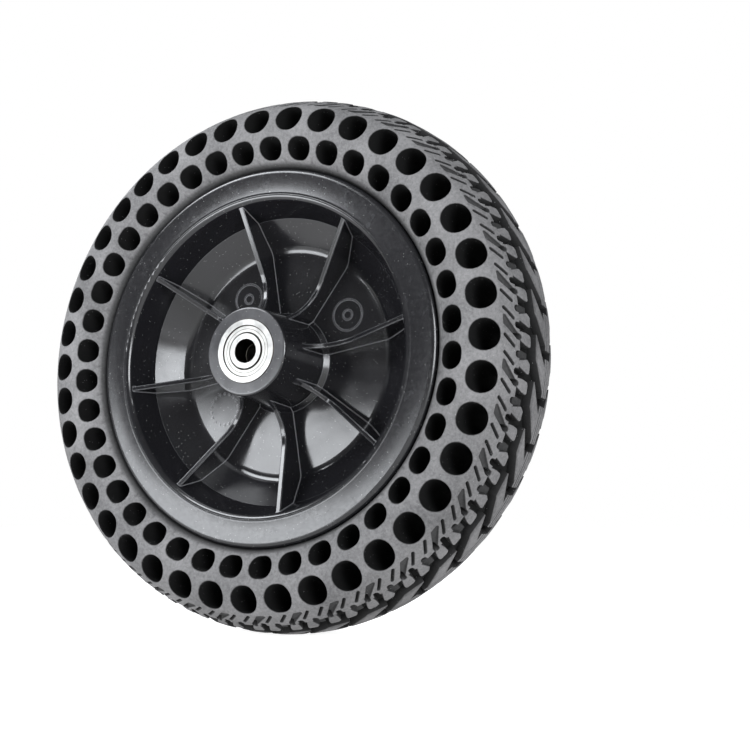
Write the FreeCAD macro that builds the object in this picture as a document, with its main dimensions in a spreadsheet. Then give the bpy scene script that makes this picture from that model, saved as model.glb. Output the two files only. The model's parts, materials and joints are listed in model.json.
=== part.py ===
"""Free-rolling wheel: a perforated solid tyre on a one-piece ribbed hub with two ball bearings.

The wheel's centre is the origin and +Y is its axle line. The front face looks towards -Y, and
angles round the wheel are counted from +Z towards +X. All lengths are millimetres.
"""
import FreeCAD, Part
import math
import os
import re
import Sketcher

Vector = FreeCAD.Vector
AXLE = Vector(0, 1, 0)

DIMENSIONS = {
    # solid rubber tyre
    "tyre_radius": 95,
    "crest_half_width": 25.8,
    "crest_radius": 77.6,
    "shoulder_radius": 86.8,
    "shoulder_half_width": 22.7,
    "bead_edge_radius": 66.5,
    "bead_edge_half_width": 21.4,
    "hole_count": 40,
    "outer_row_radius": 81.7,
    "outer_hole_radius": 4.5,
    "outer_hole_stretch": 0.4,
    "inner_row_radius": 71.4,
    "inner_hole_radius": 3.55,
    "inner_hole_stretch": 0.75,
    "first_hole_angle": 0.7,
    # rim of the hub
    "flange_radius": 65.5,
    "flange_half_width": 21.3,
    "flange_thickness": 3,
    "rim_rounding": 2,
    "lip_rounding": 2.2,
    "lip_radius": 54.6,
    "drum_radius": 58,
    "rear_lip_radius": 54,
    # dished web
    "web_height": 2,
    "web_thickness": 3.5,
    "web_radius": 41.5,
    "cone_radius": 51,
    "cone_height": 10,
    "web_fillet": 5,
    # barrel round the bearings
    "barrel_half_length": 28,
    "barrel_radius": 15.2,
    "barrel_root_radius": 16.7,
    "barrel_rounding": 1,
    "barrel_flare": 1.5,
    "barrel_bore_radius": 9.5,
    "bearing_proud": 0.2,
    # ribs: a straight sloping edge that runs into a round scoop beside the barrel
    "rib_count": 8,
    "rib_thickness": 1.8,
    "rib_rounding": 0.35,
    "first_rib_angle": 36.2,
    "rib_slope": 22.5,
    "rib_end_radius": 56,
    "rib_root_depth": 1.2,
    "scoop_radius": 11.9,
    "scoop_centre_radius": 27,
    "scoop_centre_height": 21.4,
    # moulded date dials on the web
    "dial_distance": 29.5,
    "dial_radius": 5.8,
    "dial_line": 0.45,
    "dial_dots": 18,
    "dial_height": 0.25,
    "dial_dot_radius": 0.4,
    # ball bearing, bore 8, outside 22, width 7
    "bearing_bore_radius": 4,
    "bearing_radius": 11,
    "bearing_width": 7,
    "ring_chamfer": 0.3,
    "inner_land_radius": 6.05,
    "outer_land_radius": 8.7,
    "pitch_radius": 7.5,
    "ball_radius": 1.9845,
    "ball_count": 7,
    "ball_clearance": 0.02,
    "race_conformity": 1.04,
    # riveted ribbon cage
    "cage_thickness": 0.35,
    "cage_inner_radius": 6.75,
    "cage_outer_radius": 8.3,
    "pocket_radius": 2.08,
    "rivet_radius": 0.3,
    "rivet_head_radius": 0.5,
    "rivet_head_height": 0.2,
    # pressed steel shields
    "shield_inner_radius": 6.3,
    "shield_outer_radius": 9,
    "shield_thickness": 0.3,
    "shield_inset": 0.35,
    "shield_slot_overcut": 0.1,
    # spacer between the two inner rings
    "spacer_bore_radius": 4.1,
    "spacer_radius": 5.75,
}

doc = FreeCAD.newDocument("FreeRollingWheel")
sheet = doc.addObject("Spreadsheet::Sheet", "Dims")
for row, (alias, size) in enumerate(DIMENSIONS.items(), start=1):
    sheet.set("A%d" % row, alias)
    sheet.set("B%d" % row, str(size))
    sheet.setAlias("B%d" % row, alias)
doc.recompute()


def sized(text):
    """Expression text with every dimension's name pointed at the sheet."""
    return re.sub(r"[a-z_]+", lambda m: "Dims." + m.group() if m.group() in DIMENSIONS else m.group(), text)


def number(text):
    """Present value of an expression of dimensions."""
    return float(sheet.evalExpression(sized(text)))


def bind(thing, prop, text):
    """Keep a property equal to an expression of dimensions."""
    thing.setExpression(prop, sized(text))


def new_body(label):
    """Empty body named after its node."""
    body = doc.addObject("PartDesign::Body", label)
    body.Label = label
    return body


def origin_feature(body, role):
    """One of the body's own origin planes or axes."""
    return next(item for item in body.Origin.OriginFeatures if item.Role == role)


def new_sketch(body, name, role):
    """Sketch on one of the body's own origin planes."""
    sketch = body.newObject("Sketcher::SketchObject", name)
    sketch.AttachmentSupport = [(origin_feature(body, role), "")]
    sketch.MapMode = "FlatFace"
    return sketch


def bulged_edge(start, end, radius):
    """Arc from start to end; a positive radius bulges to the left of the way from start to end."""
    chord = end - start
    half = chord.Length / 2
    sagitta = abs(radius) - math.sqrt(radius**2 - half**2)
    left = Vector(-chord.y, chord.x, 0).normalize()
    middle = (start + end) * 0.5 + left * math.copysign(sagitta, radius)
    return Part.Arc(start, middle, end)


def draw_outline(sketch, corners, bulges=None):
    """Closed outline through corners given as pairs of expressions.

    bulges maps a corner's number to the signed radius of the arc that leaves it.
    """
    bulges = bulges or {}
    points = [Vector(number(across), number(up), 0) for across, up in corners]
    first = sketch.GeometryCount
    for index, start in enumerate(points):
        end = points[(index + 1) % len(points)]
        edge = Part.LineSegment(start, end)
        if index in bulges:
            edge = bulged_edge(start, end, number(bulges[index]))
        sketch.addGeometry(edge, False)
    ends = {}
    for index in range(len(points)):
        swapped = index in bulges and number(bulges[index]) > 0
        ends[index] = (2, 1) if swapped else (1, 2)
    for index, (across, up) in enumerate(corners):
        here = first + index
        following = (index + 1) % len(points)
        sketch.addConstraint(
            Sketcher.Constraint("Coincident", here, ends[index][1], first + following, ends[following][0]))
        for kind, text in (("DistanceX", across), ("DistanceY", up)):
            place = sketch.addConstraint(Sketcher.Constraint(kind, here, ends[index][0], number(text)))
            bind(sketch, "Constraints[%d]" % place, text)
    for index, text in bulges.items():
        size = sketch.addConstraint(Sketcher.Constraint("Radius", first + index, abs(number(text))))
        bind(sketch, "Constraints[%d]" % size, "abs(%s)" % text)


def draw_circle(sketch, across, up, radius):
    """Circle whose centre and radius are expressions."""
    centre = Vector(number(across), number(up), 0)
    circle = sketch.addGeometry(Part.Circle(centre, Vector(0, 0, 1), number(radius)), False)
    for kind, text in (("DistanceX", across), ("DistanceY", up)):
        place = sketch.addConstraint(Sketcher.Constraint(kind, circle, 3, number(text)))
        bind(sketch, "Constraints[%d]" % place, text)
    size = sketch.addConstraint(Sketcher.Constraint("Radius", circle, number(radius)))
    bind(sketch, "Constraints[%d]" % size, radius)


def draw_slot(sketch, up, radius, stretch):
    """Round-ended slot that lies across the vertical axis; stretch is half its straight length."""
    height, size, reach = number(up), number(radius), number(stretch)
    lines, arcs = [], []
    for side in (-1, 1):
        ends = [Vector(end * reach, height + side * size, 0) for end in (-1, 1)]
        lines.append(sketch.addGeometry(Part.LineSegment(*ends), False))
        circle = Part.Circle(Vector(side * reach, height, 0), Vector(0, 0, 1), size)
        start = math.radians(-90 * side)
        arcs.append(sketch.addGeometry(Part.ArcOfCircle(circle, start, start + math.pi), False))
    for line, near, far in ((lines[0], 2, 1), (lines[1], 1, 2)):
        sketch.addConstraint(Sketcher.Constraint("Tangent", line, 1, arcs[0], near))
        sketch.addConstraint(Sketcher.Constraint("Tangent", line, 2, arcs[1], far))
    for arc, side in zip(arcs, ("-", "")):
        for kind, text in (("DistanceX", side + stretch), ("DistanceY", up)):
            place = sketch.addConstraint(Sketcher.Constraint(kind, arc, 3, number(text)))
            bind(sketch, "Constraints[%d]" % place, text)
    width = sketch.addConstraint(Sketcher.Constraint("Radius", arcs[0], size))
    bind(sketch, "Constraints[%d]" % width, radius)


def revolve(body, name, corners, bulges=None, kind="PartDesign::Revolution"):
    """Turn an outline of (radius, height) corners round the axle line."""
    sketch = new_sketch(body, name + "Outline", "XY_Plane")
    draw_outline(sketch, corners, bulges)
    feature = body.newObject(kind, name)
    feature.Profile = sketch
    feature.ReferenceAxis = (sketch, ["V_Axis"])
    feature.Angle = 360
    sketch.Visibility = False
    doc.recompute()
    return feature


def repeat(body, name, features, count):
    """Repeat features evenly round the axle line."""
    pattern = body.newObject("PartDesign::PolarPattern", name)
    pattern.Originals = features
    pattern.Axis = (origin_feature(body, "Y_Axis"), [""])
    pattern.Angle = 360
    bind(pattern, "Occurrences", count)
    body.Tip = pattern
    doc.recompute()
    return pattern


def ring_edges(feature, places):
    """Names of the circular edges round the axle line at the given (radius, height) places."""
    names = []
    for index, edge in enumerate(feature.Shape.Edges, start=1):
        if not isinstance(edge.Curve, Part.Circle) or not edge.isClosed():
            continue
        centre = edge.Curve.Center
        for radius, height in places:
            close = abs(edge.Curve.Radius - number(radius)) < 1e-4 and abs(centre.y - number(height)) < 1e-4
            if close:
                names.append("Edge%d" % index)
    return names


def soften(body, name, base, edges, size, kind="PartDesign::Fillet"):
    """Round or chamfer the named edges of the base feature."""
    feature = body.newObject(kind, name)
    feature.Base = (base, edges)
    bind(feature, "Radius" if kind.endswith("Fillet") else "Size", size)
    doc.recompute()
    return feature


def cut_holes(body, name, row, angle):
    """One row of slightly stretched round holes right through the tyre."""
    sketch = new_sketch(body, name + "Slot", "XZ_Plane")
    sketch.AttachmentOffset = FreeCAD.Placement(Vector(), FreeCAD.Rotation(Vector(0, 0, 1), -number(angle)))
    bind(sketch, "AttachmentOffset.Rotation.Angle", "-" + angle)
    draw_slot(sketch, row + "_row_radius", row + "_hole_radius", row + "_hole_stretch")
    hole = body.newObject("PartDesign::Pocket", name)
    hole.Profile = sketch
    hole.Type = "ThroughAll"
    hole.SideType = "Symmetric"
    doc.recompute()
    return repeat(body, name + "Row", [hole], "hole_count")


def make_tyre():
    """Crowned ring with bulging sidewalls, two staggered rows of holes and a bed for the rim."""
    body = new_body("tyre")
    groove = "(flange_half_width - flange_thickness)"
    contact = "(flange_half_width - rim_rounding)"
    corners = [
        ("drum_radius", "-" + groove), ("flange_radius", "-" + groove),
        ("flange_radius", "-" + contact), ("bead_edge_radius", "-bead_edge_half_width"),
        ("crest_radius", "-crest_half_width"), ("shoulder_radius", "-shoulder_half_width"),
        ("shoulder_radius", "shoulder_half_width"), ("crest_radius", "crest_half_width"),
        ("bead_edge_radius", "bead_edge_half_width"), ("flange_radius", contact),
        ("flange_radius", groove), ("drum_radius", groove),
    ]
    rise = "(tyre_radius - shoulder_radius)"
    crown = "-(shoulder_half_width ^ 2 + %s ^ 2) / (2 * %s)" % (rise, rise)
    fall = "(crest_half_width - bead_edge_half_width)"
    inner_side = "-((crest_radius - bead_edge_radius) ^ 2 + %s ^ 2) / (2 * %s)" % (fall, fall)
    fall = "(crest_half_width - shoulder_half_width)"
    outer_side = "-((shoulder_radius - crest_radius) ^ 2 + %s ^ 2) / (2 * %s)" % (fall, fall)
    bulges = {3: inner_side, 4: outer_side, 5: crown, 6: outer_side, 7: inner_side}
    revolve(body, "TyreRing", corners, bulges)
    cut_holes(body, "OuterHole", "outer", "first_hole_angle")
    cut_holes(body, "InnerHole", "inner", "(first_hole_angle + 180 / hole_count)")
    return body


def hub_corners():
    """Section of the hub without its ribs, round from the front bearing seat."""
    slope = "((cone_height - web_height) / (cone_radius - web_radius))"
    wall_rise = "(web_thickness * sqrt(1 + %s ^ 2))" % slope
    rear_web = "(web_thickness - web_height)"
    rear_web_radius = "(web_radius + (%s - web_thickness) / %s)" % (wall_rise, slope)
    rear_cone = "(%s - web_height - (rear_lip_radius - web_radius) * %s)" % (wall_rise, slope)
    groove = "(flange_half_width - flange_thickness)"
    seat = "(barrel_half_length + bearing_proud - bearing_width)"
    return [
        ("bearing_radius", "-barrel_half_length"), ("barrel_radius", "-barrel_half_length"),
        ("barrel_root_radius", "-web_height"), ("web_radius", "-web_height"),
        ("cone_radius", "-cone_height"), ("lip_radius", "-flange_half_width"),
        ("flange_radius", "-flange_half_width"), ("flange_radius", "-" + groove),
        ("drum_radius", "-" + groove), ("drum_radius", groove),
        ("flange_radius", groove), ("flange_radius", "flange_half_width"),
        ("lip_radius", "flange_half_width"), ("rear_lip_radius", rear_cone),
        (rear_web_radius, rear_web), ("barrel_root_radius", rear_web),
        ("barrel_radius", "barrel_half_length"), ("bearing_radius", "barrel_half_length"),
        ("bearing_radius", seat), ("barrel_bore_radius", seat),
        ("barrel_bore_radius", "-" + seat), ("bearing_radius", "-" + seat),
    ]


def add_ribs(body):
    """Thin radial walls on both sides of the web, from the barrel to the rim."""
    sketch = new_sketch(body, "RibOutline", "YZ_Plane")
    sketch.AttachmentOffset = FreeCAD.Placement(
        Vector(), FreeCAD.Rotation(Vector(1, 0, 0), number("first_rib_angle")))
    bind(sketch, "AttachmentOffset.Rotation.Angle", "first_rib_angle")
    root = "(barrel_radius - rib_root_depth)"
    scoop_edge = "(scoop_centre_radius - scoop_radius)"
    tangent_radius = "(scoop_centre_radius + scoop_radius * sin(rib_slope))"
    tangent_height = "(scoop_centre_height - scoop_radius * cos(rib_slope))"
    end_height = "(%s + (rib_end_radius - %s) * tan(rib_slope))" % (tangent_height, tangent_radius)
    half = [
        ("scoop_centre_height", root), ("scoop_centre_height", scoop_edge),
        (tangent_height, tangent_radius), (end_height, "rib_end_radius"),
    ]
    corners = [("-" + height, radius) for height, radius in half] + half[::-1]
    draw_outline(sketch, corners, {1: "-scoop_radius", 5: "-scoop_radius"})
    rib = body.newObject("PartDesign::Pad", "Rib")
    rib.Profile = sketch
    rib.SideType = "Symmetric"
    bind(rib, "Length", "rib_thickness")
    doc.recompute()
    return repeat(body, "Ribs", [rib], "rib_count")


def rib_crests(feature):
    """Names of the ribs' outward edges: the straight slopes and the round scoops."""
    slope = number("rib_slope")
    names = []
    for index, edge in enumerate(feature.Shape.Edges, start=1):
        if isinstance(edge.Curve, Part.Circle):
            flat = abs(edge.Curve.Axis.dot(AXLE)) < 1e-6
            if flat and abs(edge.Curve.Radius - number("scoop_radius")) < 1e-4:
                names.append("Edge%d" % index)
        elif isinstance(edge.Curve, Part.Line):
            lean = math.degrees(math.asin(abs(edge.Curve.Direction.dot(AXLE))))
            if abs(lean - slope) < 1e-3 and edge.Length > number("scoop_radius"):
                names.append("Edge%d" % index)
    return names


def mid_sector(index):
    """Angle halfway between a rib and the next; sector 0 starts at the first rib."""
    return "(first_rib_angle + %s * 360 / rib_count)" % (index + 0.5)


def dial_circles(body, name, sector, radii):
    """Raised circles on the front of the web, in the middle of a sector."""
    sketch = new_sketch(body, name + "Circles", "XZ_Plane")
    angle = mid_sector(sector)
    for radius in radii:
        draw_circle(sketch, "dial_distance * sin(%s)" % angle, "dial_distance * cos(%s)" % angle, radius)
    raise_from_web(body, name, sketch)


def dial_dots(body, name, sector):
    """Ring of raised dots on the front of the web."""
    sketch = new_sketch(body, name + "Circles", "XZ_Plane")
    angle = mid_sector(sector)
    for index in range(int(number("dial_dots"))):
        step = "%d * 360 / dial_dots" % index
        across = "dial_distance * sin(%s) + dial_radius * sin(%s)" % (angle, step)
        up = "dial_distance * cos(%s) + dial_radius * cos(%s)" % (angle, step)
        draw_circle(sketch, across, up, "dial_dot_radius")
    raise_from_web(body, name, sketch)


def raise_from_web(body, name, sketch):
    """Lift a drawing a little off the front of the web."""
    pad = body.newObject("PartDesign::Pad", name)
    pad.Profile = sketch
    bind(pad, "Length", "web_height + dial_height")
    doc.recompute()


def make_hub():
    """One moulding: barrel with two bearing seats, dished web, eight ribs and a flanged rim."""
    body = new_body("hub")
    corners = hub_corners()
    shell = revolve(body, "Shell", corners)
    rim = ring_edges(shell, [corners[index] for index in (6, 11)])
    shell = soften(body, "RimRounding", shell, rim, "rim_rounding")
    lips = ring_edges(shell, [corners[index] for index in (5, 12)])
    shell = soften(body, "LipRounding", shell, lips, "lip_rounding")
    faces = ring_edges(shell, [corners[index] for index in (1, 16)])
    shell = soften(body, "BarrelRounding", shell, faces, "barrel_rounding")
    dish = ring_edges(shell, [corners[index] for index in (3, 14)])
    shell = soften(body, "WebFillet", shell, dish, "web_fillet")
    roots = ring_edges(shell, [corners[index] for index in (2, 15)])
    shell = soften(body, "BarrelFlare", shell, roots, "barrel_flare", kind="PartDesign::Chamfer")
    ribs = add_ribs(body)
    soften(body, "RibRounding", ribs, rib_crests(ribs), "rib_rounding")
    line_in = "(dial_radius - dial_line)"
    for name, sector in (("RightDial", 0), ("LeftDial", 6)):
        dial_circles(body, name, sector, ["dial_radius", line_in])
        dial_circles(body, name + "Centre", sector, ["dial_radius / 3", "(dial_radius / 3 - dial_line)"])
    dial_dots(body, "DottedDial", 4)
    return body


def move_to_bearing(body, side):
    """Move a bearing piece from the centre out to the front (-1) or rear (+1) bearing."""
    bind(body, "Placement.Base.y", "%d * (barrel_half_length + bearing_proud - bearing_width / 2)" % side)


def make_ring(label, bore, outside, race_centre, side, slots=()):
    """Bearing ring with a ball groove; bore, outside and race_centre are radii."""
    body = new_body(label)
    half = "(bearing_width / 2)"
    corners = [(bore, "-" + half), (outside, "-" + half), (outside, half), (bore, half)]
    ring = revolve(body, "Ring", corners)
    ground = [corner for corner in corners if corner[0] in ("bearing_bore_radius", "bearing_radius")]
    ring = soften(body, "Corners", ring, ring_edges(ring, ground), "ring_chamfer")
    groove = new_sketch(body, "RaceCircle", "XY_Plane")
    draw_circle(groove, race_centre, "0", "ball_radius * race_conformity")
    race = body.newObject("PartDesign::Groove", "Race")
    race.Profile = groove
    race.ReferenceAxis = (groove, ["V_Axis"])
    race.Angle = 360
    doc.recompute()
    for index, slot in enumerate(slots):
        revolve(body, "ShieldSlot%d" % index, slot, kind="PartDesign::Groove")
    move_to_bearing(body, side)
    return body


def shield_section(end):
    """Section of a shield at one end (-1 or +1) of a bearing."""
    near = "%d * (bearing_width / 2 - shield_inset - shield_thickness)" % end
    far = "%d * (bearing_width / 2 - shield_inset)" % end
    return [("shield_inner_radius", near), ("shield_outer_radius", near),
            ("shield_outer_radius", far), ("shield_inner_radius", far)]


def slot_section(end):
    """The part of a shield's section that is pressed into the outer ring."""
    inner_near, outer_near, outer_far, inner_far = shield_section(end)
    start = "(outer_land_radius - shield_slot_overcut)"
    return [(start, inner_near[1]), outer_near, outer_far, (start, inner_far[1])]


def make_shield(label, end, side):
    """Thin pressed washer that closes one end of a bearing."""
    body = new_body(label)
    revolve(body, "Washer", shield_section(end))
    move_to_bearing(body, side)
    return body


def cut_away(body, name, sketch, both_ways):
    """Cut a drawing right through the body, or only through what lies behind the drawing."""
    pocket = body.newObject("PartDesign::Pocket", name)
    pocket.Profile = sketch
    pocket.Type = "ThroughAll"
    pocket.SideType = "Symmetric" if both_ways else "One side"
    doc.recompute()
    return pocket


def sketch_across_ball(body, name):
    """Sketch through the top ball's centre, square to the bearing's radius there."""
    sketch = new_sketch(body, name, "XY_Plane")
    middle = "(cage_inner_radius + cage_outer_radius) / 2"
    sketch.AttachmentOffset = FreeCAD.Placement(Vector(0, 0, number(middle)), FreeCAD.Rotation())
    bind(sketch, "AttachmentOffset.Base.z", middle)
    return sketch


def make_cage_half(label, end, side):
    """Ribbon with an arch over each ball; two such halves face each other round the balls."""
    body = new_body(label)
    width = "(cage_outer_radius - cage_inner_radius)"
    flat = new_sketch(body, "RibbonCircles", "XZ_Plane")
    draw_circle(flat, "0", "0", "cage_outer_radius")
    draw_circle(flat, "0", "0", "cage_inner_radius")
    ribbon = body.newObject("PartDesign::Pad", "Ribbon")
    ribbon.Profile = flat
    bind(ribbon, "Length", "cage_thickness")
    hoop_circles = sketch_across_ball(body, "HoopCircles")
    draw_circle(hoop_circles, "0", "0", "pocket_radius + cage_thickness")
    draw_circle(hoop_circles, "0", "0", "pocket_radius")
    hoop = body.newObject("PartDesign::Pad", "Hoop")
    hoop.Profile = hoop_circles
    hoop.SideType = "Symmetric"
    bind(hoop, "Length", width)
    doc.recompute()
    room_circle = sketch_across_ball(body, "RoomCircle")
    draw_circle(room_circle, "0", "0", "pocket_radius")
    room = body.newObject("PartDesign::Pocket", "Room")
    room.Profile = room_circle
    room.SideType = "Symmetric"
    bind(room, "Length", "2 * " + width)
    doc.recompute()
    repeat(body, "Pockets", [hoop, room], "ball_count")
    behind = new_sketch(body, "BehindCircle", "XZ_Plane")
    draw_circle(behind, "0", "0", "bearing_radius")
    cut_away(body, "Behind", behind, both_ways=False)
    rim = new_sketch(body, "TrimCircles", "XZ_Plane")
    draw_circle(rim, "0", "0", "cage_outer_radius")
    draw_circle(rim, "0", "0", "bearing_radius")
    cut_away(body, "Trim", rim, both_ways=True)
    rivet_hole = new_sketch(body, "RivetHole", "XZ_Plane")
    draw_circle(rivet_hole, *between_balls(), "rivet_radius")
    hole = cut_away(body, "Hole", rivet_hole, both_ways=True)
    repeat(body, "Holes", [hole], "ball_count")
    if end > 0:
        body.Placement.Rotation = FreeCAD.Rotation(Vector(0, 0, 1), 180)
    move_to_bearing(body, side)
    return body


def between_balls():
    """Place of the first rivet, midway between two balls."""
    return ("pitch_radius * sin(180 / ball_count)", "pitch_radius * cos(180 / ball_count)")


def make_cage_rivets(label, side):
    """Seven small headed pins that hold the two cage halves together."""
    body = new_body(label)
    body.AllowCompound = True
    blank_circle = new_sketch(body, "HeadCircle", "XZ_Plane")
    draw_circle(blank_circle, *between_balls(), "rivet_head_radius")
    blank = body.newObject("PartDesign::Pad", "Blank")
    blank.Profile = blank_circle
    blank.SideType = "Symmetric"
    bind(blank, "Length", "2 * (cage_thickness + rivet_head_height)")
    doc.recompute()
    waist_circles = new_sketch(body, "WaistCircles", "XZ_Plane")
    draw_circle(waist_circles, *between_balls(), "rivet_radius")
    draw_circle(waist_circles, *between_balls(), "2 * rivet_head_radius")
    waist = body.newObject("PartDesign::Pocket", "Waist")
    waist.Profile = waist_circles
    waist.SideType = "Symmetric"
    bind(waist, "Length", "2 * cage_thickness")
    doc.recompute()
    repeat(body, "Rivets", [blank, waist], "ball_count")
    move_to_bearing(body, side)
    return body


def make_ball(label, index, side):
    """One bearing ball at its place round the pitch circle."""
    ball = doc.addObject("Part::Sphere", label)
    ball.Label = label
    bind(ball, "Radius", "ball_radius")
    angle = "(%d * 360 / ball_count)" % index
    bind(ball, "Placement.Base.x", "pitch_radius * sin(%s)" % angle)
    bind(ball, "Placement.Base.z", "pitch_radius * cos(%s)" % angle)
    move_to_bearing(ball, side)
    return ball


def make_spacer():
    """Tube that keeps the two inner rings apart when the axle bolt is tightened."""
    body = new_body("spacer_sleeve")
    half = "(barrel_half_length + bearing_proud - bearing_width)"
    corners = [("spacer_bore_radius", "-" + half), ("spacer_radius", "-" + half),
               ("spacer_radius", half), ("spacer_bore_radius", half)]
    tube = revolve(body, "Tube", corners)
    soften(body, "Corners", tube, ring_edges(tube, corners), "ring_chamfer", kind="PartDesign::Chamfer")
    return body


def make_bearing(prefix, side):
    """All the pieces of one ball bearing."""
    inner_race = "pitch_radius - ball_radius - ball_clearance + ball_radius * race_conformity"
    outer_race = "pitch_radius + ball_radius + ball_clearance - ball_radius * race_conformity"
    inner = ("bearing_bore_radius", "inner_land_radius", inner_race)
    outer = ("outer_land_radius", "bearing_radius", outer_race)
    slots = [slot_section(-1), slot_section(1)]
    pieces = [
        make_ring(prefix + "_bearing_inner_ring", *inner, side),
        make_ring(prefix + "_bearing_outer_ring", *outer, side, slots),
        make_cage_half(prefix + "_cage_front_half", -1, side),
        make_cage_half(prefix + "_cage_rear_half", 1, side),
        make_cage_rivets(prefix + "_cage_rivets", side),
        make_shield(prefix + "_bearing_front_shield", -1, side),
        make_shield(prefix + "_bearing_rear_shield", 1, side),
    ]
    count = int(number("ball_count"))
    pieces += [make_ball("%s_ball_%d" % (prefix, index + 1), index, side) for index in range(count)]
    return pieces


def export(pieces):
    """Check every object and write one STEP file for each piece."""
    doc.recompute()
    for item in doc.Objects:
        if "Invalid" in item.State or "Error" in item.State:
            raise RuntimeError("%s is %s" % (item.Label, item.State))
    for piece in pieces:
        if piece.Shape.isNull() or not piece.Shape.isValid():
            raise RuntimeError(piece.Label + " has no valid shape")
    os.makedirs("parts", exist_ok=True)
    for piece in pieces:
        piece.Shape.exportStep("parts/%s.step" % piece.Label)
        print("%-28s %10.2f mm3" % (piece.Label, piece.Shape.Volume))


export([make_tyre(), make_hub(), make_spacer()] + make_bearing("front", -1) + make_bearing("rear", 1))
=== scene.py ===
import json
import math

import bmesh
import bpy
import numpy as np
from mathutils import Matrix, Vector
from mathutils.geometry import delaunay_2d_cdt


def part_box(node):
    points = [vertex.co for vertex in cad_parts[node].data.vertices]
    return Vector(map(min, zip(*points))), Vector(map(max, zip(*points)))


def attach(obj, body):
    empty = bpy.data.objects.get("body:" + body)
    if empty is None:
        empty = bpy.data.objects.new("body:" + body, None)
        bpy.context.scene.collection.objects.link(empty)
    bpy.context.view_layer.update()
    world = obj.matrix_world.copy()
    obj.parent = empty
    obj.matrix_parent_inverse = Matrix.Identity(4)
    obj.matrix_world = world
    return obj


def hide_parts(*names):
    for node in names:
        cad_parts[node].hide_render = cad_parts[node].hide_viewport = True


# The looks of a free-rolling wheel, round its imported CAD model. The frame is the CAD model's: metres,
# the wheel's centre at the origin, +Y along the axle, the front face towards -Y, and angles counted
# from +Z towards +X. The tyre's sizes below are in millimetres and scaled at the end.

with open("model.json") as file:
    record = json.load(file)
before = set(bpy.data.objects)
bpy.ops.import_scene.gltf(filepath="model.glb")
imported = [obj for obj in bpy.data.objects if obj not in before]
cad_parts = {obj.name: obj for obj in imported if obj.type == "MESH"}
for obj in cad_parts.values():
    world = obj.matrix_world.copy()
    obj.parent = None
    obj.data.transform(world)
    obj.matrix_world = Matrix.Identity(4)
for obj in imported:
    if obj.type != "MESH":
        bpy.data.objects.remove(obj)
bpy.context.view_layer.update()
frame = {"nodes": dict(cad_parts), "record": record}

MM = 0.001
TYRE_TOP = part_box("tyre")[1]

# Outline of the tyre: sidewalls that bulge to a crest, a crown between two shoulders, and the bed
# for the rim, whose corners are (radius, half width).
CROWN_RADIUS = TYRE_TOP.z / MM
CREST_HALF_WIDTH = TYRE_TOP.y / MM
CREST_RADIUS = 77.6
SHOULDER_RADIUS = 86.8
SHOULDER = 22.7
BEAD_EDGE_RADIUS = 66.5
BEAD_EDGE = 21.4
BED_CORNERS = [(BEAD_EDGE_RADIUS, BEAD_EDGE), (65.5, 19.3), (65.5, 18.3), (58.0, 18.3)]

# The tread and the two staggered rows of holes repeat together round the wheel. A row is its radius,
# the radius of its holes' ends, and half of their straight length round the wheel.
REPEATS = 40
PITCH = 360 / REPEATS
FIRST_HOLE = 0.7
OUTER_ROW = (81.7, 4.5, 0.4)
INNER_ROW = (71.4, 3.55, 0.75)
ROW_BORDER = 76.55
MOUTH_ROUNDING = 0.35
STEPS_ACROSS_HOLE = 16
STEPS_UP_HOLE = 5

# Rows of points across the tread, how near a block of the next pitches has to come to count, in
# degrees, the smallest rounding of a corner, and how near the tread's border a point counts as on it.
ROWS_ACROSS_TREAD = 13
NEIGHBOUR_REACH = 0.3
SMALLEST_ROUNDING = 0.02
BORDER_TOLERANCE = 1e-4

# Points this near are merged, shorter edges dissolved, and edges past this angle shaded sharp.
MERGE_DISTANCE = 0.002
SHORTEST_EDGE = 0.0005
SHARP_DEGREES = 35

# Tread: how far its floor lies below the crown, and how its walls lean and round over.
TREAD_DEPTH = 2.8
SHOULDER_FLOOR_RADIUS = 86.6
DRAFT = 0.22
ROUNDING = 0.2
TREAD_MM_PER_DEGREE = math.radians(90.0)

# Share of dust and light, from painted shade at 0 to dusty, lit rubber at 1: on the rings of a hole's
# cell, from the sidewall in, painted dark as shade into the hole; by radius beside the rim, painted
# darker as shade there; and by share of the groove's depth in the tread, painted dark as shade down
# the walls and floors, where shallow recesses lie at 0.4.
MOUTH_DUST_AND_LIGHT = [1.0, 1.0, 1.0, 0.7, 0.2, 0.0]
BEAD_DUST_AND_LIGHT = ([BEAD_EDGE_RADIUS, BEAD_EDGE_RADIUS + 1.0], [0.4, 1.0])
TREAD_DUST_AND_LIGHT = ([0.01, 0.06, 0.3, 0.4, 0.6], [1.0, 0.1, 0.1, 0.25, 0.0])

# Where the hub's surface changes, in metres: its rim's face starts at these distances from the axle
# and from the wheel's middle plane, and its barrel's end face lies past these distances from that plane.
RIM_FACE_START = (0.0560, 0.0568)
RIM_FACE_DEPTH = (0.0193, 0.0198)
BARREL_FACE_DEPTH = (0.0278, 0.0279)

# The rim sinks slightly between its edges: the middle of its face, half its width, and the sink.
RIM_MIDDLE = 0.0600
RIM_HALF = 0.0052
RIM_SINK = 0.0003

# The hub's sharp edges and corners get a painted highlight within this reach, in metres.
EDGE_HIGHLIGHT_REACH = 0.0008

# Painted shade on the bearings, as dark bands round the axle in metres: the bore, the gaps beside the
# shields and the edge of the outer ring.
RING_SHADE = [(0.0, 0.00408), (0.00595, 0.0061), (0.0086, 0.0088), (0.01075, 0.0112)]
SHIELD_SHADE = [(0.0060, 0.00645), (0.00745, 0.00752), (0.00855, 0.0090)]
SHADE_FADE = 0.00008

# The camera: its place in metres, the way it looks, its lens and sensor in millimetres, its shift.
CAMERA_PLACE = (0.16204, -0.28209, -0.05804)
CAMERA_FORWARD = (-0.416915, 0.899395, 0.131421)
CAMERA_LENS = 43.71
CAMERA_SENSOR = 36.0
CAMERA_SHIFT = (0.0122, 0.0409)

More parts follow.
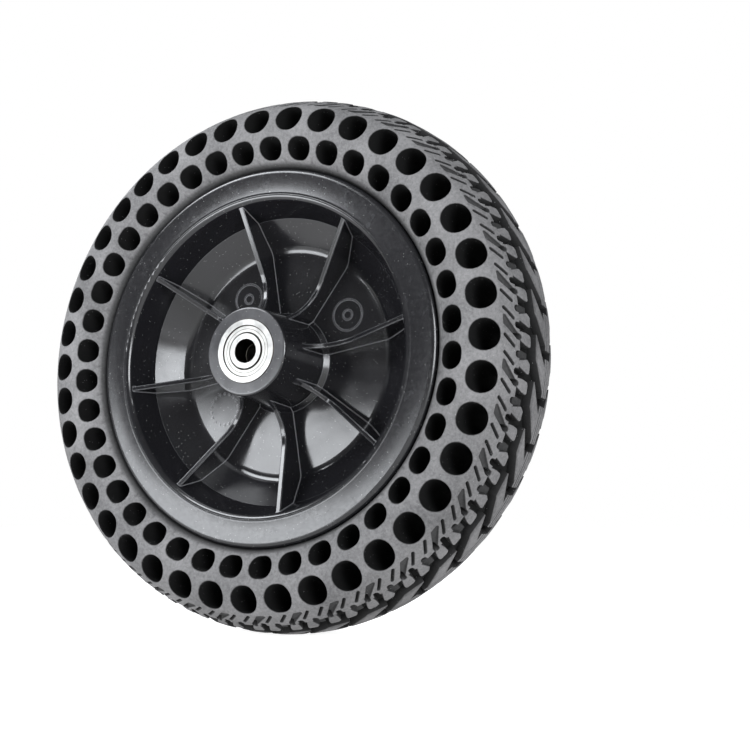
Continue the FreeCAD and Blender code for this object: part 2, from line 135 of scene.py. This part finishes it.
# Colour of the soft boxes, like an overcast sky, and the floor's reach in metres and its glow.
DAYLIGHT = (0.93, 0.96, 1.0)
FLOOR_REACH = 20.0
FLOOR_GLOW = 0.9


def side_height(radius):
    """Half width of the tyre at a radius on its sidewall."""
    inner = radius < CREST_RADIUS
    drop = CREST_HALF_WIDTH - np.where(inner, BEAD_EDGE, SHOULDER)
    reach = np.where(inner, CREST_RADIUS - BEAD_EDGE_RADIUS, SHOULDER_RADIUS - CREST_RADIUS)
    curve = (reach**2 + drop**2) / (2 * drop)
    return CREST_HALF_WIDTH - curve + np.sqrt(curve**2 - (radius - CREST_RADIUS) ** 2)


def crown_radius(height):
    """Radius of the tread's tops at a height across the tyre."""
    rise = CROWN_RADIUS - SHOULDER_RADIUS
    curve = (SHOULDER**2 + rise**2) / (2 * rise)
    return CROWN_RADIUS - curve + np.sqrt(curve**2 - height**2)


def groove_depth(height):
    """Depth of the tread's floor, which levels out towards the shoulder."""
    return np.minimum(TREAD_DEPTH, crown_radius(height) - SHOULDER_FLOOR_RADIUS)


def round_wheel(degrees, radius, height):
    """Points in the frame from angles round the wheel, radii and heights across it."""
    angle = np.radians(degrees)
    return np.stack([radius * np.sin(angle), height + 0 * angle, radius * np.cos(angle)], axis=-1)


class Block:
    """Convex outline with rounded corners on the unrolled tread, raised from the floor or cut into what is.

    Corners are (degrees from an outer hole, height across the tyre). level is the height of its top,
    or of a cut's bottom, as a share of the groove's depth.
    """

    def __init__(self, corners, rounding, level=1.0, cut=False, shift=0.0):
        points = [Vector(((degrees + shift) * TREAD_MM_PER_DEGREE, height)) for degrees, height in corners]
        area = sum(a.x * b.y - b.x * a.y for a, b in zip(points, points[1:] + points[:1]))
        self.corners = points if area > 0 else points[::-1]
        self.rounding = rounding
        self.level = level
        self.cut = cut
        sides = [b - a for a, b in zip(self.corners, self.corners[1:] + self.corners[:1])]
        self.normals = [Vector((side.y, -side.x)).normalized() for side in sides]
        self.core = [self.inset_corner(index) for index in range(len(self.corners))]

    def inset_corner(self, index):
        """Centre of the rounding at one corner."""
        before, after = self.normals[index - 1], self.normals[index]
        return self.corners[index] - (before + after) * (self.rounding / (1 + before.dot(after)))

    def ring(self, offset, arc_steps=2):
        """Outline moved outwards by offset."""
        radius = max(self.rounding + offset, SMALLEST_ROUNDING)
        points = []
        for index, centre in enumerate(self.core):
            start = math.atan2(self.normals[index - 1].y, self.normals[index - 1].x)
            end = math.atan2(self.normals[index].y, self.normals[index].x)
            turn = (end - start) % math.tau
            for step in range(arc_steps + 1):
                angle = start + turn * step / arc_steps
                points.append(centre + Vector((math.cos(angle), math.sin(angle))) * radius)
        return points

    def loops(self):
        """The rings where the surface bends."""
        offsets = (ROUNDING, 0.0, -DRAFT) if self.cut else (0.0, -DRAFT, -DRAFT - ROUNDING)
        return [self.ring(offset) for offset in offsets]

    def distance(self, points):
        """Signed distance of points from the outline, negative inside."""
        inside = np.full(len(points), -np.inf)
        outside = np.full(len(points), np.inf)
        for index, start in enumerate(self.core):
            side = np.array(self.core[(index + 1) % len(self.core)] - start)
            away = points - np.array(start)
            inside = np.maximum(inside, away @ np.array(self.normals[index]))
            along = np.clip(away @ side / max(side @ side, 1e-12), 0, 1)
            outside = np.minimum(outside, np.linalg.norm(away - along[:, None] * side, axis=1))
        return np.where(inside <= 0, inside, outside) - self.rounding

    def carve(self, points, drop, depth):
        """Depth below the crown at points, once this block is added to a surface of that drop."""
        inwards = -self.distance(points)
        bottom = depth * (1 - self.level)
        if self.cut:
            rounded = np.interp(inwards, [-ROUNDING, 0.0], [0.0, ROUNDING])
            walled = ROUNDING + (bottom - ROUNDING) * np.clip(inwards / DRAFT, 0, 1)
            return np.maximum(drop, np.minimum(np.where(inwards > 0, walled, rounded), depth))
        edge = np.minimum(bottom + ROUNDING, depth)
        walled = depth + (edge - depth) * np.clip(inwards / DRAFT, 0, 1)
        rounded = edge + (bottom - edge) * np.clip((inwards - DRAFT) / ROUNDING, 0, 1)
        return np.minimum(drop, np.where(inwards > DRAFT, rounded, walled))


def half_pattern():
    """Blocks and cuts of the tread's front half within one pitch."""
    band_in, band_out = 16.6, 24.5
    slot_out, slot_in = 22.2, 18.7
    slot_width, slot_slant = 0.8, 2.5
    scale_in = 12.1
    raised = [
        # the band along the shoulder, right round the tyre
        Block([(-PITCH, -band_out), (2 * PITCH, -band_out), (2 * PITCH, -band_in), (-PITCH, -band_in)], 0.3),
        # two curved scales that hang from the band, and a low step in the gap before them
        Block([(4.4, -17.6), (3.9, -13.6), (4.8, -scale_in), (7.4, -scale_in), (6.5, -15.2),
               (5.7, -17.6)], 0.9),
        Block([(7.7, -17.6), (7.8, -15.0), (8.2, -12.6), (9.0, -scale_in), (11.2, -scale_in),
               (10.6, -14.8), (9.6, -17.6)], 0.9),
        Block([(1.9, -17.0), (4.6, -17.0), (4.6, -scale_in), (2.7, -scale_in)], 0.5, level=0.55),
        # the slanting arm, and the block on the crown that it runs into
        Block([(-1.3, -9.6), (3.7, -9.6), (10.0, -2.2), (4.5, -2.2), (-1.3, -8.7)], 0.35),
        Block([(2.7, -2.9), (10.4, -2.9), (10.4, 2.9), (2.7, 2.9)], 0.4),
    ]
    cuts = [
        # a shallow line round the tyre, beside its middle
        Block([(-PITCH, -1.25), (2 * PITCH, -1.25), (2 * PITCH, -0.75), (-PITCH, -0.75)], 0.1,
              level=0.7, cut=True),
        # a shallow slanting recess in the band
        Block([(4.4, -slot_out), (6.7, -slot_out), (9.8, -17.6), (8.5, -17.6)], 0.3,
              level=0.6, cut=True),
        # three notches in the band's inner edge
        Block([(2.6, -18.3), (3.9, -18.3), (4.3, -16.1), (3.0, -16.1)], 0.7, level=0, cut=True),
        Block([(6.0, -18.5), (7.2, -18.5), (7.6, -16.3), (6.4, -16.3)], 0.6, level=0, cut=True),
        Block([(8.1, -18.8), (9.3, -18.8), (9.8, -16.4), (8.6, -16.4)], 0.7, level=0, cut=True),
    ]
    for start in (-0.7, 2.8):
        corners = [(start, -slot_out), (start + slot_width, -slot_out),
                   (start + slot_slant + slot_width, -slot_in), (start + slot_slant, -slot_in)]
        cuts.append(Block(corners, 0.3, level=0, cut=True))
    return raised, cuts


def whole_pattern():
    """Both halves of the tread's pattern, with the neighbours that reach into this pitch."""
    raised, cuts = half_pattern()
    blocks = []
    for block in raised + cuts:
        degrees = [corner.x / TREAD_MM_PER_DEGREE for corner in block.corners]
        heights = [corner.y for corner in block.corners]
        for side in (1, -1):
            right_round = max(degrees) - min(degrees) > 2 * PITCH
            corners = [(d, side * h) for d, h in zip(degrees, heights)]
            for shift in (0,) if right_round else (-2 * PITCH, -PITCH, 0, PITCH):
                starts_inside = min(degrees) + shift < PITCH / 2 + NEIGHBOUR_REACH
                ends_inside = max(degrees) + shift > -PITCH / 2 - NEIGHBOUR_REACH
                if starts_inside and ends_inside:
                    blocks.append(Block(corners, block.rounding, block.level, block.cut, shift))
    return [b for b in blocks if not b.cut] + [b for b in blocks if b.cut]


def tread_tile():
    """One pitch of the tread: points as (degrees, height, drop below the crown), and triangles."""
    blocks = whole_pattern()
    half = PITCH / 2 * TREAD_MM_PER_DEGREE
    rows = np.linspace(-SHOULDER, SHOULDER, ROWS_ACROSS_TREAD)
    columns = np.linspace(-half, half, STEPS_ACROSS_HOLE + 1)
    border = [(u, -SHOULDER) for u in columns] + [(half, v) for v in rows[1:]]
    border += [(u, SHOULDER) for u in columns[-2::-1]] + [(-half, v) for v in rows[-2:0:-1]]
    points = [Vector(p) for p in border]
    edges = [(i, (i + 1) % len(border)) for i in range(len(border))]
    for block in blocks:
        for loop in block.loops():
            first = len(points)
            points += loop
            edges += [(first + i, first + (i + 1) % len(loop)) for i in range(len(loop))]
    inner = np.array([(u, v) for u in columns[2:-1:2] for v in rows[1:-1]])
    gaps = np.min([np.abs(block.distance(inner)) for block in blocks], axis=0)
    points += [Vector(p) for p in inner[gaps > DRAFT + ROUNDING]]
    corners, _, faces, _, _, _ = delaunay_2d_cdt(points, edges, [], 0, 1e-5, False)
    flat = np.array([tuple(c) for c in corners])
    faces = np.array([f for f in faces if len(f) == 3])
    centres = flat[faces].mean(axis=1)
    inside = (np.abs(centres[:, 0]) < half) & (np.abs(centres[:, 1]) < SHOULDER)
    faces = faces[inside]
    depth = groove_depth(np.clip(flat[:, 1], -SHOULDER, SHOULDER))
    drop = depth.copy()
    for block in blocks:
        drop = block.carve(flat, drop, depth)
    drop[np.abs(flat[:, 1]) > SHOULDER - BORDER_TOLERANCE] = 0
    degrees = flat[:, 0] / TREAD_MM_PER_DEGREE
    used = np.unique(faces)
    order = np.full(len(flat), -1)
    order[used] = np.arange(len(used))
    return np.stack([degrees, flat[:, 1], drop], axis=1)[used], order[faces]


def hole_cell(row, low, high):
    """One hole of the front sidewall and the wall round it: rings of points from the cell's border in.

    Returns the rings' points as (degrees from the hole, radius, height). The last ring is where the
    straight tube through the tyre begins.
    """
    centre, radius, stretch = row
    across = np.linspace(-PITCH / 2, PITCH / 2, STEPS_ACROSS_HOLE + 1)
    up = np.linspace(low, high, STEPS_UP_HOLE + 1)
    border = [(a, low) for a in across[:-1]] + [(PITCH / 2, r) for r in up[:-1]]
    border += [(a, high) for a in across[:0:-1]] + [(-PITCH / 2, r) for r in up[:0:-1]]
    border = np.array(border)
    mm_per_degree = math.radians(1) * centre
    flat = np.stack([border[:, 0] * mm_per_degree, border[:, 1] - centre], axis=1)
    core = np.stack([np.clip(flat[:, 0], -stretch, stretch), 0 * flat[:, 1]], axis=1)
    direction = (flat - core) / np.linalg.norm(flat - core, axis=1)[:, None]
    rings = []
    for share in (0.0, 0.5, 1.0):
        ring = flat * (1 - share) + (core + direction * (radius + MOUTH_ROUNDING)) * share
        rings.append(cell_ring(ring, centre, mm_per_degree, 0.0))
    for turn in (30, 60, 90):
        sink = MOUTH_ROUNDING * (1 - math.cos(math.radians(turn)))
        reach = radius + MOUTH_ROUNDING * (1 - math.sin(math.radians(turn)))
        rings.append(cell_ring(core + direction * reach, centre, mm_per_degree, sink))
    return np.array(rings)


def cell_ring(flat, centre, mm_per_degree, sink):
    """A ring of a hole's cell as (degrees, radius, height), sunk below the sidewall."""
    radius = centre + flat[:, 1]
    height = -(side_height(np.clip(radius, BEAD_EDGE_RADIUS, SHOULDER_RADIUS)) - sink)
    return np.stack([flat[:, 0] / mm_per_degree, radius, height], axis=1)


def strips(rings):
    """Quads between neighbouring closed rings of a (rings, points, ...) array."""
    count, size = rings.shape[:2]
    here = np.arange(size)
    following = (here + 1) % size
    quads = [np.stack([k * size + here, k * size + following, (k + 1) * size + following,
                       (k + 1) * size + here], axis=1) for k in range(count - 1)]
    return np.concatenate(quads)


class MeshParts:
    """Collects points and faces of one mesh, and for each point its share of dust and light, low where shade
    is painted.
    """

    def __init__(self):
        self.points = []
        self.dust_and_light = []
        self.faces = []
        self.count = 0

    def add(self, points, faces, dust_and_light):
        self.points.append(points)
        self.dust_and_light.append(np.broadcast_to(dust_and_light, len(points)))
        self.faces += (faces + self.count).tolist()
        self.count += len(points)


def build_tyre():
    """Tyre mesh: sidewalls with holes, the tubes through them, the tread and the bed for the rim."""
    parts = MeshParts()
    starts = FIRST_HOLE + PITCH * np.arange(REPEATS)
    rows = [(OUTER_ROW, ROW_BORDER, SHOULDER_RADIUS, 0), (INNER_ROW, BEAD_EDGE_RADIUS, ROW_BORDER, PITCH / 2)]
    for row, low, high, shift in rows:
        front = hole_cell(row, low, high)
        rear = front[::-1] * (1, 1, -1)
        rings = np.concatenate([front, rear])
        faces = strips(rings)
        flat = rings.reshape(-1, 3)
        # Painted shade: the holes darken from the mouth into the tube, and the sidewall darkens beside the
        # rim.
        shares = np.array(MOUTH_DUST_AND_LIGHT + MOUTH_DUST_AND_LIGHT[::-1]).repeat(front.shape[1])
        shares = shares * np.interp(flat[:, 1], *BEAD_DUST_AND_LIGHT)
        for start in starts:
            parts.add(round_wheel(flat[:, 0] + start + shift, flat[:, 1], flat[:, 2]), faces, shares)
    tile, triangles = tread_tile()
    radius = crown_radius(tile[:, 1]) - tile[:, 2]
    # Painted shade: the tread's walls and floors darken below the tops.
    shares = np.interp(tile[:, 2] / groove_depth(tile[:, 1]), *TREAD_DUST_AND_LIGHT)
    for start in starts:
        parts.add(round_wheel(tile[:, 0] + start, radius, tile[:, 1]), triangles, shares)
    around = FIRST_HOLE + np.arange(REPEATS * STEPS_ACROSS_HOLE) * PITCH / STEPS_ACROSS_HOLE
    bed = [(r, -h) for r, h in BED_CORNERS] + [(r, h) for r, h in BED_CORNERS[::-1]]
    rings = np.array([round_wheel(around, r, h) for r, h in bed])
    # Painted shade: the bed under the rim is black, its edges partly dark.
    shares = np.zeros(rings.shape[:2])
    shares[[0, -1]] = BEAD_DUST_AND_LIGHT[1][0]
    parts.add(rings.reshape(-1, 3), strips(rings), shares.ravel())
    return finished_mesh("tyre_tread", parts)


def finished_mesh(name, parts):
    """Object from collected parts, with shared points merged and normals outwards."""
    mesh = bpy.data.meshes.new(name)
    mesh.from_pydata(np.concatenate(parts.points) * MM, [], parts.faces)
    dust_and_light = mesh.attributes.new("dust_and_light", "FLOAT", "POINT")
    dust_and_light.data.foreach_set("value", np.concatenate(parts.dust_and_light).astype(np.float32))
    work = bmesh.new()
    work.from_mesh(mesh)
    bmesh.ops.remove_doubles(work, verts=work.verts, dist=MERGE_DISTANCE * MM)
    bmesh.ops.dissolve_degenerate(work, edges=work.edges, dist=SHORTEST_EDGE * MM)
    bmesh.ops.recalc_face_normals(work, faces=work.faces)
    work.to_mesh(mesh)
    work.free()
    mesh.shade_smooth()
    mesh.set_sharp_from_angle(angle=math.radians(SHARP_DEGREES))
    piece = bpy.data.objects.new(name, mesh)
    bpy.context.scene.collection.objects.link(piece)
    return piece


def new_material(name):
    """Empty node material with its Principled shader."""
    material = bpy.data.materials.new(name)
    material.use_nodes = True
    shader = material.node_tree.nodes["Principled BSDF"]
    return material, shader


class Nodes:
    """Small helper that adds and links nodes of one material."""

    def __init__(self, material):
        self.tree = material.node_tree
        self.place = self.add("ShaderNodeTexCoord").outputs["Object"]

    def add(self, kind, **settings):
        node = self.tree.nodes.new(kind)
        for name, value in settings.items():
            setattr(node, name, value)
        return node

    def feed(self, socket, value):
        """Link an output to a socket, or set a constant on it."""
        if isinstance(value, bpy.types.NodeSocket):
            self.tree.links.new(value, socket)
        else:
            socket.default_value = value

    def maths(self, operation, *values):
        node = self.add("ShaderNodeMath", operation=operation)
        for socket, value in zip(node.inputs, values):
            self.feed(socket, value)
        return node.outputs[0]

    def spread(self, value, low, high, to_low, to_high):
        """Value moved from one range to another, clamped."""
        node = self.add("ShaderNodeMapRange", clamp=True)
        for socket, item in zip(node.inputs, (value, low, high, to_low, to_high)):
            self.feed(socket, item)
        return node.outputs[0]

    def noise(self, size, detail=3.0, roughness=0.55, place=None):
        """Noise whose lumps are about size metres."""
        node = self.add("ShaderNodeTexNoise")
        self.feed(node.inputs["Vector"], self.place if place is None else place)
        node.inputs["Scale"].default_value = 1 / size
        node.inputs["Detail"].default_value = detail
        node.inputs["Roughness"].default_value = roughness
        return node.outputs["Fac"]

    def specks(self, size, share):
        """Small round spots, about size metres across, over a share of their cells."""
        cells = self.add("ShaderNodeTexVoronoi", feature="F1")
        self.feed(cells.inputs["Vector"], self.place)
        cells.inputs["Scale"].default_value = 1 / (4 * size)
        chosen = self.add("ShaderNodeSeparateColor")
        self.feed(chosen.inputs[0], cells.outputs["Color"])
        spot = self.spread(cells.outputs["Distance"], 0.08, 0.16, 1.0, 0.0)
        return self.maths("MULTIPLY", spot, self.maths("LESS_THAN", chosen.outputs[0], share))

    def between(self, share, low, high):
        """Number mixed from low to high by share."""
        node = self.add("ShaderNodeMix", data_type="FLOAT")
        numbers = [socket for socket in node.inputs if socket.type == "VALUE"]
        for socket, value in zip(numbers, (share, low, high)):
            self.feed(socket, value)
        return next(o for o in node.outputs if o.type == "VALUE")

    def blend(self, share, low, high):
        """Colour mixed from low to high by share."""
        node = self.add("ShaderNodeMix", data_type="RGBA")
        self.feed(node.inputs["Factor"], share)
        for name, colour in (("A", low), ("B", high)):
            socket = next(i for i in node.inputs if i.name == name and i.type == "RGBA")
            self.feed(socket, colour if isinstance(colour, bpy.types.NodeSocket) else (*colour, 1.0))
        return next(o for o in node.outputs if o.type == "RGBA")

    def bump(self, height, depth, strength=1.0, base=None):
        """Normal for a height field of that depth in metres, on a base normal."""
        node = self.add("ShaderNodeBump")
        if base is not None:
            self.feed(node.inputs["Normal"], base)
        node.inputs["Strength"].default_value = strength
        node.inputs["Distance"].default_value = depth
        self.feed(node.inputs["Height"], height)
        return node.outputs["Normal"]

    def axle_distance(self):
        """Distance from the axle line, and place along it."""
        split = self.add("ShaderNodeSeparateXYZ")
        self.feed(split.inputs[0], self.place)
        squares = [self.maths("MULTIPLY", split.outputs[i], split.outputs[i]) for i in (0, 2)]
        return self.maths("SQRT", self.maths("ADD", *squares)), split.outputs[1]


def rubber():
    """Matt moulded rubber: greyed by dust and wear on open surfaces, with painted shade near black in holes,
    grooves and beside the rim.
    """
    material, shader = new_material("rubber")
    nodes = Nodes(material)
    dust_and_light = nodes.add("ShaderNodeAttribute", attribute_name="dust_and_light").outputs["Fac"]
    grain = nodes.noise(0.0009, detail=4.0, roughness=0.7)
    bloom = nodes.noise(0.02, detail=5.0)
    shade = nodes.maths("ADD", nodes.maths("MULTIPLY", grain, 0.5), nodes.maths("MULTIPLY", bloom, 0.5))
    dusty = nodes.blend(nodes.spread(shade, 0.35, 0.65, 0.0, 1.0),
                        (0.064, 0.063, 0.064), (0.160, 0.157, 0.158))
    # Painted shade: near black where the share of dust and light falls, in holes, grooves and beside the rim.
    colour = nodes.blend(dust_and_light, (0.002, 0.002, 0.002), dusty)
    dust = nodes.maths("MULTIPLY", nodes.specks(0.00018, 0.10), 0.8)
    colour = nodes.blend(dust, colour, (0.30, 0.30, 0.30))
    nodes.feed(shader.inputs["Base Color"], colour)
    roughness = nodes.spread(bloom, 0.3, 0.7, 0.56, 0.74)
    unworn = nodes.spread(dust_and_light, 0.0, 1.0, 0.25, 0.0)
    nodes.feed(shader.inputs["Roughness"], nodes.maths("ADD", roughness, unworn))
    shader.inputs["Specular IOR Level"].default_value = 0.2
    nodes.feed(shader.inputs["Normal"], nodes.bump(grain, 0.00012, 0.6))
    return material


def hub_faces(nodes, away, height):
    """Shares that pick out the hub's rim face and its barrel's end face."""
    depth = nodes.maths("ABSOLUTE", height)
    rim_face = nodes.maths("MULTIPLY", nodes.spread(depth, *RIM_FACE_DEPTH, 0.0, 1.0),
                           nodes.spread(away, *RIM_FACE_START, 0.0, 1.0))
    return rim_face, nodes.spread(depth, *BARREL_FACE_DEPTH, 0.0, 1.0)


def hub_roughness(nodes, worn, smears):
    """Gloss with smears in it, and satin on the worn faces."""
    fine = nodes.noise(0.0012, detail=5.0, roughness=0.7)
    gloss = nodes.spread(smears, 0.35, 0.7, 0.11, 0.21)
    satin = nodes.spread(fine, 0.3, 0.7, 0.17, 0.28)
    return nodes.between(worn, gloss, satin)


def edge_highlight(nodes):
    """Painted highlight on sharp edges and in corners, found where a rounded surface would turn away from
    this one.
    """
    rounded = nodes.add("ShaderNodeBevel", samples=6)
    rounded.inputs["Radius"].default_value = EDGE_HIGHLIGHT_REACH
    along = nodes.add("ShaderNodeVectorMath", operation="DOT_PRODUCT")
    nodes.feed(along.inputs[0], rounded.outputs["Normal"])
    nodes.feed(along.inputs[1], nodes.add("ShaderNodeNewGeometry").outputs["Normal"])
    return nodes.spread(along.outputs["Value"], 0.8, 0.98, 0.8, 0.0)


def hub_colour(nodes, worn, barrel_face, smears):
    """Black with pale scuffs on the worn faces, painted highlights on edges and corners, a rubbed barrel face
    and dust on top.
    """
    dust = nodes.specks(0.00016, 0.14)
    patches = nodes.spread(nodes.noise(0.004, 8.0, 0.75), 0.56, 0.7, 0.0, 1.0)
    scuffs = nodes.maths("MULTIPLY", nodes.maths("MULTIPLY", patches, worn), 0.3)
    colour = nodes.blend(scuffs, (0.007, 0.007, 0.008), (0.06, 0.06, 0.064))
    # Painted highlight: pale grey along the edges and in the corners.
    colour = nodes.blend(edge_highlight(nodes), colour, (0.24, 0.24, 0.25))
    rubbed = nodes.blend(nodes.spread(smears, 0.35, 0.65, 0.0, 1.0),
                         (0.025, 0.025, 0.027), (0.06, 0.06, 0.063))
    colour = nodes.blend(nodes.maths("MULTIPLY", barrel_face, 0.9), colour, rubbed)
    return nodes.blend(nodes.maths("MULTIPLY", dust, 0.7), colour, (0.5, 0.5, 0.48))


def hub_relief(nodes, away, rim_face):
    """Normal of the hub: the rim's slight sink, and a faint ripple of the moulding."""
    across_rim = nodes.spread(away, RIM_MIDDLE - RIM_HALF, RIM_MIDDLE + RIM_HALF, -1.0, 1.0)
    sink = nodes.maths("MULTIPLY", nodes.maths("MULTIPLY", across_rim, across_rim), rim_face)
    dished = nodes.bump(sink, RIM_SINK)
    return nodes.bump(nodes.noise(0.012, 2.0), 0.00025, 0.15, dished)


def hub_plastic():
    """Glossy black moulding, with a satin rim, a rubbed barrel face, scuffs, painted highlights on edges and
    corners, and dust.
    """
    material, shader = new_material("hub_plastic")
    nodes = Nodes(material)
    away, height = nodes.axle_distance()
    rim_face, barrel_face = hub_faces(nodes, away, height)
    worn = nodes.maths("MAXIMUM", rim_face, barrel_face)
    smears = nodes.noise(0.012, detail=6.0, roughness=0.6)
    nodes.feed(shader.inputs["Roughness"], hub_roughness(nodes, worn, smears))
    nodes.feed(shader.inputs["Base Color"], hub_colour(nodes, worn, barrel_face, smears))
    nodes.feed(shader.inputs["Normal"], hub_relief(nodes, away, rim_face))
    shader.inputs["Specular IOR Level"].default_value = 0.45
    return material


def ground_steel(name, colour, roughness, grooves, shade_bands=()):
    """Steel ground or turned round the axle, with rings of fine grooves that many metres apart.

    The last argument lists bands of painted shade round the axle, as (inner radius, outer radius) in metres.
    """
    material, shader = new_material(name)
    nodes = Nodes(material)
    away, height = nodes.axle_distance()
    rings = nodes.add("ShaderNodeCombineXYZ")
    nodes.feed(rings.inputs[0], nodes.maths("MULTIPLY", away, 1 / grooves))
    nodes.feed(rings.inputs[1], nodes.maths("MULTIPLY", height, 1 / grooves))
    turned = nodes.noise(1.0, detail=2.0, place=rings.outputs[0])
    stain = nodes.noise(0.003, detail=5.0)
    shader.inputs["Metallic"].default_value = 1.0
    darker = tuple(0.72 * part for part in colour)
    shade = nodes.blend(nodes.spread(stain, 0.35, 0.65, 0.0, 1.0), darker, colour)
    for low, high in shade_bands:
        inside = nodes.maths("MULTIPLY", nodes.spread(away, low - SHADE_FADE, low, 0.0, 1.0),
                             nodes.spread(away, high, high + SHADE_FADE, 1.0, 0.0))
        # Painted shade: dark bands in the bore, the gaps and the grooves round the shields.
        shade = nodes.blend(inside, shade, (0.03, 0.026, 0.022))
    nodes.feed(shader.inputs["Base Color"], shade)
    nodes.feed(shader.inputs["Roughness"], nodes.spread(stain, 0.3, 0.7, roughness, roughness + 0.12))
    nodes.feed(shader.inputs["Normal"], nodes.bump(turned, 0.000012, 0.5))
    return material


def finish_nodes():
    """Give every CAD node a material that suits it."""
    materials = {
        "hub_plastic": hub_plastic(),
        "bearing_steel": ground_steel("bearing_steel", (0.47, 0.467, 0.455), 0.30, 0.00012, RING_SHADE),
        "shield_steel": ground_steel("shield_steel", (0.44, 0.437, 0.42), 0.36, 0.00025, SHIELD_SHADE),
        "ball_steel": ground_steel("ball_steel", (0.78, 0.78, 0.79), 0.08, 0.0004),
        "cage_steel": ground_steel("cage_steel", (0.55, 0.52, 0.47), 0.36, 0.0003),
        "spacer_metal": ground_steel("spacer_metal", (0.16, 0.15, 0.13), 0.45, 0.0005),
    }
    slots = {part["node"]: part["material_slot"] for part in frame["record"]["subparts"]}
    for node, thing in frame["nodes"].items():
        if slots[node] in materials:
            thing.data.materials.clear()
            thing.data.materials.append(materials[slots[node]])


def soft_box(name, turn, rise, distance, size, brightness):
    """Area light that faces the wheel's centre, turned right from the front and raised by degrees.

    brightness is what a mirror would show of it, with white at 1.
    """
    width, height = size
    level = math.cos(math.radians(rise))
    direction = Vector((math.sin(math.radians(turn)) * level, -math.cos(math.radians(turn)) * level,
                        math.sin(math.radians(rise))))
    light = bpy.data.lights.new(name, "AREA")
    light.shape = "RECTANGLE"
    light.size, light.size_y = size
    light.energy = brightness * math.pi * width * height
    light.color = DAYLIGHT
    lamp = bpy.data.objects.new(name, light)
    lamp.location = direction * distance
    lamp.rotation_mode = "QUATERNION"
    lamp.rotation_quaternion = (-direction).to_track_quat("-Z", "Y")
    bpy.context.scene.collection.objects.link(lamp)


def pale_floor():
    """Wide matt floor under the wheel, which glows a little so that it stays white."""
    ground = -CROWN_RADIUS * MM
    corners = [(-1, -1), (1, -1), (1, 1), (-1, 1)]
    floor = bpy.data.meshes.new("floor")
    floor.from_pydata([(x * FLOOR_REACH, y * FLOOR_REACH, ground) for x, y in corners], [], [(0, 1, 2, 3)])
    piece = bpy.data.objects.new("floor", floor)
    bpy.context.scene.collection.objects.link(piece)
    material, shader = new_material("floor")
    shader.inputs["Base Color"].default_value = (0.5, 0.5, 0.5, 1.0)
    shader.inputs["Roughness"].default_value = 1.0
    shader.inputs["Specular IOR Level"].default_value = 0.0
    shader.inputs["Emission Color"].default_value = (1.0, 1.0, 1.0, 1.0)
    shader.inputs["Emission Strength"].default_value = FLOOR_GLOW
    floor.materials.append(material)


def studio():
    """Pale floor, white surroundings that light the wheel only a little, and soft boxes."""
    pale_floor()
    white_surroundings(seen=1.0, felt=0.22)
    soft_box("right_window", turn=52, rise=9, distance=0.80, size=(0.40, 0.30), brightness=18)
    soft_box("low_left_panel", turn=-31, rise=-5, distance=0.36, size=(0.16, 0.12), brightness=13)
    soft_box("high_left_window", turn=-38, rise=40, distance=0.60, size=(0.32, 0.20), brightness=17)
    soft_box("overhead", turn=-60, rise=72, distance=0.80, size=(0.5, 0.4), brightness=2.2)
    soft_box("rear_fill", turn=-125, rise=30, distance=0.80, size=(0.45, 0.35), brightness=10)
    bpy.context.scene.view_settings.view_transform = "Standard"


def white_surroundings(seen, felt):
    """White world: seen is how bright the view finds it, felt how bright it lights the wheel."""
    world = bpy.data.worlds.new("studio")
    world.use_nodes = True
    tree = world.node_tree
    lighting = tree.nodes["Background"]
    lighting.inputs["Color"].default_value = (1.0, 1.0, 1.0, 1.0)
    lighting.inputs["Strength"].default_value = felt
    backdrop = tree.nodes.new("ShaderNodeBackground")
    backdrop.inputs["Strength"].default_value = seen
    backdrop.inputs["Color"].default_value = (1.0, 1.0, 1.0, 1.0)
    path = tree.nodes.new("ShaderNodeLightPath")
    either = tree.nodes.new("ShaderNodeMixShader")
    tree.links.new(path.outputs["Is Camera Ray"], either.inputs["Fac"])
    tree.links.new(lighting.outputs[0], either.inputs[1])
    tree.links.new(backdrop.outputs[0], either.inputs[2])
    tree.links.new(either.outputs[0], tree.nodes["World Output"].inputs["Surface"])
    bpy.context.scene.world = world


def camera():
    """Camera at the low three-quarter view of the front face."""
    data = bpy.data.cameras.new("camera")
    data.lens = CAMERA_LENS
    data.sensor_width = CAMERA_SENSOR
    data.shift_x, data.shift_y = CAMERA_SHIFT
    thing = bpy.data.objects.new("camera", data)
    thing.location = CAMERA_PLACE
    thing.rotation_mode = "QUATERNION"
    thing.rotation_quaternion = Vector(CAMERA_FORWARD).to_track_quat("-Z", "Y")
    data.clip_start = 0.01
    bpy.context.scene.collection.objects.link(thing)
    bpy.context.scene.camera = thing


camera()
studio()
finish_nodes()
tyre = build_tyre()
tyre.data.materials.append(rubber())
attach(tyre, "wheel")
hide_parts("tyre")
